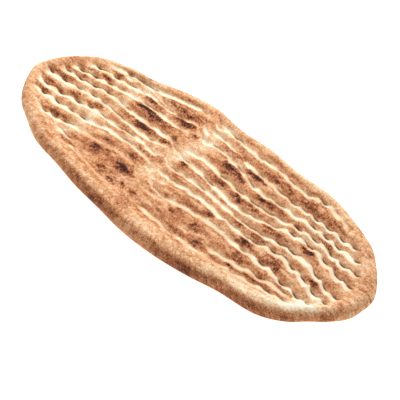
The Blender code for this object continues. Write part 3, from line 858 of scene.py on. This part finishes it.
def makeFurrowGroup():
    # the pale slope, partly less baked crust and partly painted highlight, and the thin dark line of painted
    # shadow in a furrow, from the distance to its bottom in mm
    values = {"Off": 9.0, "Mark": 0.0, "Deep": 0.3, "Pit Shadow": 0.0, "Sway": 1.0}
    group, start, end = startGroup("furrowMarks", values, ("Pale And Highlight", "Line"))
    given, look = start.outputs, furrowMarks
    where = place(group, "ShaderNodeTexCoord", -1200, -300).outputs["Object"]
    wobble = noiseNode(group, where, -1000, -300, *look["wobble"]).outputs["Fac"]
    breaks = noiseNode(group, where, -1000, -600, *look["breaks"]).outputs["Fac"]
    wobbled = ("MULTIPLY_ADD", look["wobbleReach"], given["Off"])
    off = chain(group, wobble, -800, -300, ("SUBTRACT", 0.5), ("MULTIPLY", given["Sway"]), wobbled)
    whole = softRange(group, breaks, -650, -600, *look["breakRange"])
    # pale: less baked crust and painted highlight, broad below the bottom line, narrow above it, and uneven
    # along the furrow
    paleAndHighlight = None
    for side, base, more in look["slopes"]:
        y = 200 * side
        uneven = maths(group, "MULTIPLY_ADD", -500, y + 100, whole, *look["widthUneven"])
        width = chain(group, given["Deep"], -350, y + 100, ("MULTIPLY_ADD", more, base), ("MULTIPLY", uneven))
        fade = chain(
            group, off, -350, y,
            ("MULTIPLY_ADD", side, look["slopeStart"]), ("MAXIMUM", 0.0), ("DIVIDE", width),
            ("POWER", look["slopeFade"]), ("MULTIPLY", -1.0), ("EXPONENT",),
        )
        paleAndHighlight = fade if paleAndHighlight is None else maths(group, "MULTIPLY", 550, 0, paleAndHighlight, fade)
    patchy = chain(
        group, whole, 400, 300, ("MULTIPLY_ADD", *look["slopeUneven"]), ("MAXIMUM", given["Deep"])
    )
    paleAndHighlight = maths(group, "MULTIPLY", 700, 200, paleAndHighlight, patchy)
    # and a crisp painted highlight along its upper edge
    highlight = maths(group, "ADD", -50, 500, off, look["highlightPlace"])
    shine = maths(group, "MULTIPLY_ADD", 250, 650, whole, *look["highlightUneven"])
    fading = (("MULTIPLY", highlight), ("MULTIPLY", look["highlightFade"]), ("EXPONENT",), ("MULTIPLY", shine))
    highlight = chain(group, highlight, 100, 500, *fading)
    paleAndHighlight = chain(group, paleAndHighlight, 700, 350, ("MAXIMUM", highlight), ("MULTIPLY", given["Mark"]))
    group.links.new(paleAndHighlight, end.inputs["Pale And Highlight"])
    # line: painted shadow, dark at the bottom of the pits with a soft brown above it, thin and broken
    # elsewhere
    lines = []
    for middle, width in look["lines"]:
        y = -300 - 150 * len(lines)
        away = chain(group, off, -50, y, ("SUBTRACT", middle), ("DIVIDE", width))
        lines.append(chain(group, away, 250, y, ("MULTIPLY", away), ("MULTIPLY", -1.0), ("EXPONENT",)))
    scarce = maths(group, "SUBTRACT", -350, -700, 1.0, whole)
    darkShadow = chain(
        group, scarce, -200, -700,
        ("POWER", look["shadowLineFade"]), ("MULTIPLY", look["paintedShadowShare"]),
        ("MULTIPLY", given["Mark"]), ("MAXIMUM", given["Pit Shadow"]), ("MULTIPLY", lines[0]),
    )
    soft = chain(group, lines[1], 700, -450, ("MULTIPLY", given["Pit Shadow"]), ("MULTIPLY", look["softShadowShare"]))
    line = maths(group, "MAXIMUM", 1000, -300, darkShadow, soft)
    group.links.new(line, end.inputs["Line"])
    return group


grain = {
    "skin": (700.0, 5.0, 0.62),  # scale, detail and roughness
    "blisterScale": 240.0,
    "blisterReach": 0.6,  # in shares of the distance between two blisters
    "poreScale": 620.0,
    "poreReach": 0.25,
}


def makeGrainGroup():
    # the crust's fine relief: dry skin, tiny blisters and pores
    group, start, end = startGroup("crustGrain", {"Skin": 0.5, "Blisters": 0.5, "Pores": 0.5}, ("Height",))
    given = start.outputs
    where = place(group, "ShaderNodeTexCoord", -900, -300).outputs["Object"]
    skin = noiseNode(group, where, -600, 300, *grain["skin"])
    blisters = place(group, "ShaderNodeTexVoronoi", -600, 0, Scale=grain["blisterScale"], feature="SMOOTH_F1")
    pores = place(group, "ShaderNodeTexVoronoi", -600, -300, Scale=grain["poreScale"])
    for texture in (blisters, pores):
        group.links.new(where, texture.inputs["Vector"])
    bump = maths(group, "SUBTRACT", -350, 0, grain["blisterReach"], blisters.outputs["Distance"])
    pit = maths(group, "SUBTRACT", -350, -300, grain["poreReach"], pores.outputs["Distance"])
    pit = maths(group, "MAXIMUM", -200, -300, pit, 0.0)
    height = maths(group, "MULTIPLY", -50, 300, skin.outputs["Fac"], given["Skin"])
    height = maths(group, "MULTIPLY_ADD", 100, 0, bump, given["Blisters"], height)
    holes = maths(group, "MULTIPLY", 100, -300, pit, given["Pores"])
    height = maths(group, "SUBTRACT", 300, 0, height, holes)
    group.links.new(height, end.inputs["Height"])
    return group


flour = {
    "colour": (0.93, 0.86, 0.74, 1),
    # noises: scale, detail and roughness
    "patches": (60.0, 4.0, 0.6),
    "grains": (1500.0, 2.0, 0.7),
    "grainShare": 0.6,
    "range": (0.68, 0.98),
}


def makeFlourGroup():
    # a thin dusting of flour, caught in patches
    values = {"Colour": (0.7, 0.4, 0.2, 1), "Amount": 0.2}
    group, start, end = startGroup("flourDust", values, ("Colour",))
    where = place(group, "ShaderNodeTexCoord", -900, -300).outputs["Object"]
    patches = noiseNode(group, where, -600, 200, *flour["patches"]).outputs["Fac"]
    grains = noiseNode(group, where, -600, -100, *flour["grains"]).outputs["Fac"]
    together = maths(group, "MULTIPLY_ADD", -350, 0, grains, flour["grainShare"], patches)
    spread = softRange(group, together, -200, 0, *flour["range"])
    mask = maths(group, "MULTIPLY", 0, 0, spread, start.outputs["Amount"])
    mix = place(group, "ShaderNodeMix", 300, 0, data_type="RGBA")
    mix.inputs["B"].default_value = flour["colour"]
    group.links.new(mask, mix.inputs["Factor"])
    group.links.new(start.outputs["Colour"], mix.inputs[6])
    group.links.new(mix.outputs[2], end.inputs["Colour"])
    return group


groups = {
    "browning": makeBrowningGroup(),
    "mottle": makeMottleGroup(),
    "furrow": makeFurrowGroup(),
    "grain": makeGrainGroup(),
    "flour": makeFlourGroup(),
}
print("shader groups ready")


# the looks of the top and of the underside
topCrust = {
    "blotch": 0.34,
    "speck": 1.05,
    "stroke": 0.14,
    "rimStroke": 0.42,  # more strokes over the rim
    "flour": 0.10,
    "skin": 0.55,
    "blisters": 0.5,
    "pores": 0.6,
    "bumpStrength": 0.8,
    "bumpDepth": 0.0012,
    "roughness": (0.62, 0.86),  # where well baked and where pale
    "specular": 0.05,
    # the thin dark line in the furrows and pits is painted shadow: its colour and share
    "paintedShadowColour": (0.045, 0.018, 0.010, 1),
    "paintedShadowShare": 0.95,
    "lineSway": 0.35,  # how much of the furrow marks' wobble it takes
}

baseCrust = {
    "blotch": 0.22,
    "speck": 0.30,
    "stroke": 0.04,
    "rimStroke": 0.10,
    "flour": 0.75,
    "skin": 0.4,
    "blisters": 0.15,
    "pores": 1.2,
    "bumpStrength": 0.5,
    "bumpDepth": 0.0007,
    "roughness": (0.74, 0.92),
    "specular": 0.05,
}


def startCrust(name, look):
    # the nodes that both crusts have: browning, flour, grain and roughness
    material, shader = startMaterial(name)
    tree = material.node_tree
    links = tree.links
    shader.inputs["Specular IOR Level"].default_value = look["specular"]
    mottle = useGroup(tree, groups["mottle"], -900, 200, Blotch=look["blotch"], Speck=look["speck"])
    rimShare = attribute(tree, "rimShare", -1400, -250)
    strokes = maths(tree, "MULTIPLY_ADD", -1200, -250, rimShare, look["rimStroke"], look["stroke"])
    links.new(strokes, mottle.inputs["Stroke"])
    links.new(attribute(tree, "toast", -1200, 300), mottle.inputs["Toast"])
    links.new(attribute(tree, "scorch", -1200, 100), mottle.inputs["Scorch"])
    links.new(attribute(tree, "aroundEdge", -1200, -100, "Vector"), mottle.inputs["Edge Way"])
    brown = useGroup(tree, groups["browning"], -650, 200)
    links.new(mottle.outputs["Bake"], brown.inputs["Bake"])
    dusting = useGroup(tree, groups["flour"], -400, 200)
    light = maths(tree, "SUBTRACT", -700, 450, 1.0, mottle.outputs["Bake"])
    dust = maths(tree, "MULTIPLY", -550, 450, light, look["flour"])
    links.new(dust, dusting.inputs["Amount"])
    links.new(brown.outputs["Colour"], dusting.inputs["Colour"])
    relief = {name: look[name.lower()] for name in ("Skin", "Blisters", "Pores")}
    grains = useGroup(tree, groups["grain"], -650, -300, **relief)
    bump = place(tree, "ShaderNodeBump", -300, -300, Strength=look["bumpStrength"], Distance=look["bumpDepth"])
    links.new(grains.outputs["Height"], bump.inputs["Height"])
    links.new(bump.outputs["Normal"], shader.inputs["Normal"])
    dull = place(tree, "ShaderNodeMapRange", -300, -60)
    dull.inputs["To Max"].default_value, dull.inputs["To Min"].default_value = look["roughness"]
    links.new(mottle.outputs["Bake"], dull.inputs["Value"])
    links.new(dull.outputs["Result"], shader.inputs["Roughness"])
    return material, shader, mottle, dusting, dust


def makeTopCrust():
    material, shader, mottle, dusting, _ = startCrust("topCrust", topCrust)
    tree = material.node_tree
    marks = useGroup(tree, groups["furrow"], -1200, 700, Sway=topCrust["lineSway"])
    sources = {"Off": "furrowOff", "Mark": "furrowMark", "Deep": "deep", "Pit Shadow": "pit"}
    for number, (socket, name) in enumerate(sources.items()):
        tree.links.new(attribute(tree, name, -1500, 1100 - 200 * number), marks.inputs[socket])
    # the furrow marks: the pale slopes, partly painted highlight, go into the bake, and the painted shadow
    # line is mixed over the colour
    tree.links.new(marks.outputs["Pale And Highlight"], mottle.inputs["Pale And Highlight"])
    share = maths(tree, "MULTIPLY", -200, 600, marks.outputs["Line"], topCrust["paintedShadowShare"])
    mix = place(tree, "ShaderNodeMix", 0, 500, data_type="RGBA")
    mix.inputs[7].default_value = topCrust["paintedShadowColour"]
    tree.links.new(share, mix.inputs["Factor"])
    tree.links.new(dusting.outputs["Colour"], mix.inputs[6])
    tree.links.new(mix.outputs[2], shader.inputs["Base Color"])
    return material


def makeBaseCrust():
    material, shader, _, dusting, dust = startCrust("baseCrust", baseCrust)
    tree = material.node_tree
    amount = maths(tree, "MULTIPLY", -400, 600, attribute(tree, "underside", -650, 450), dust)
    tree.links.new(amount, dusting.inputs["Amount"])
    tree.links.new(dusting.outputs["Colour"], shader.inputs["Base Color"])
    return material


bread = makeBread()
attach(bread, "root")
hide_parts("bread")


# floor, light and camera
studio = {
    "floorSize": 6.0,
    "floorColour": (0.95, 0.95, 0.95, 1),
    "floorRoughness": 0.9,
    "floorSpecular": 0.1,
    "floorGlow": 0.8,
    "airColour": (1.0, 0.91, 0.82, 1),
    "airStrength": 0.45,
    # where each light stands, its size and its power
    "keyLight": ((-0.58, 0.82, 1.30), 0.7, 33.0),
    "fillLight": ((1.3, -0.6, 1.6), 2.0, 3.0),
}

cameraView = {
    "lens": 105.0,
    "sensorWidth": 36.0,
    "place": (0.632884, -0.645098, 1.12392),
    "aim": (0.029664, -0.006986, 0.0),
}


def makeFloor():
    mesh = bpy.data.meshes.new("floor")
    shape = bmesh.new()
    bmesh.ops.create_grid(shape, x_segments=1, y_segments=1, size=studio["floorSize"] / 2)
    shape.to_mesh(mesh)
    shape.free()
    material, shader = startMaterial("paleFloor")
    shader.inputs["Base Color"].default_value = studio["floorColour"]
    shader.inputs["Roughness"].default_value = studio["floorRoughness"]
    shader.inputs["Specular IOR Level"].default_value = studio["floorSpecular"]
    shader.inputs["Emission Color"].default_value = (1, 1, 1, 1)
    shader.inputs["Emission Strength"].default_value = studio["floorGlow"]
    mesh.materials.append(material)
    floor = addObject("floor", mesh)


def stand(thing, spot, aim):
    # at a spot, turned towards another one
    thing.location = spot
    thing.rotation_euler = (Vector(aim) - Vector(spot)).to_track_quat("-Z", "Y").to_euler()


def makeLight(name):
    spot, size, power = studio[name]
    data = bpy.data.lights.new(name, "AREA")
    data.shape = "DISK"
    data.size = size
    data.energy = power
    stand(addObject(name, data), spot, (0, 0, 0))


def makeStudio():
    makeFloor()
    makeLight("keyLight")
    makeLight("fillLight")
    world = bpy.data.worlds.new("studioAir")
    world.use_nodes = True
    background = world.node_tree.nodes["Background"]
    background.inputs["Color"].default_value = studio["airColour"]
    background.inputs["Strength"].default_value = studio["airStrength"]
    bpy.context.scene.world = world
    bpy.context.scene.view_settings.view_transform = "Standard"


def makeCamera():
    data = bpy.data.cameras.new("camera")
    data.lens = cameraView["lens"]
    data.sensor_width = cameraView["sensorWidth"]
    camera = addObject("camera", data)
    stand(camera, cameraView["place"], cameraView["aim"])
    bpy.context.scene.camera = camera


makeStudio()
makeCamera()
print("studio and camera ready")
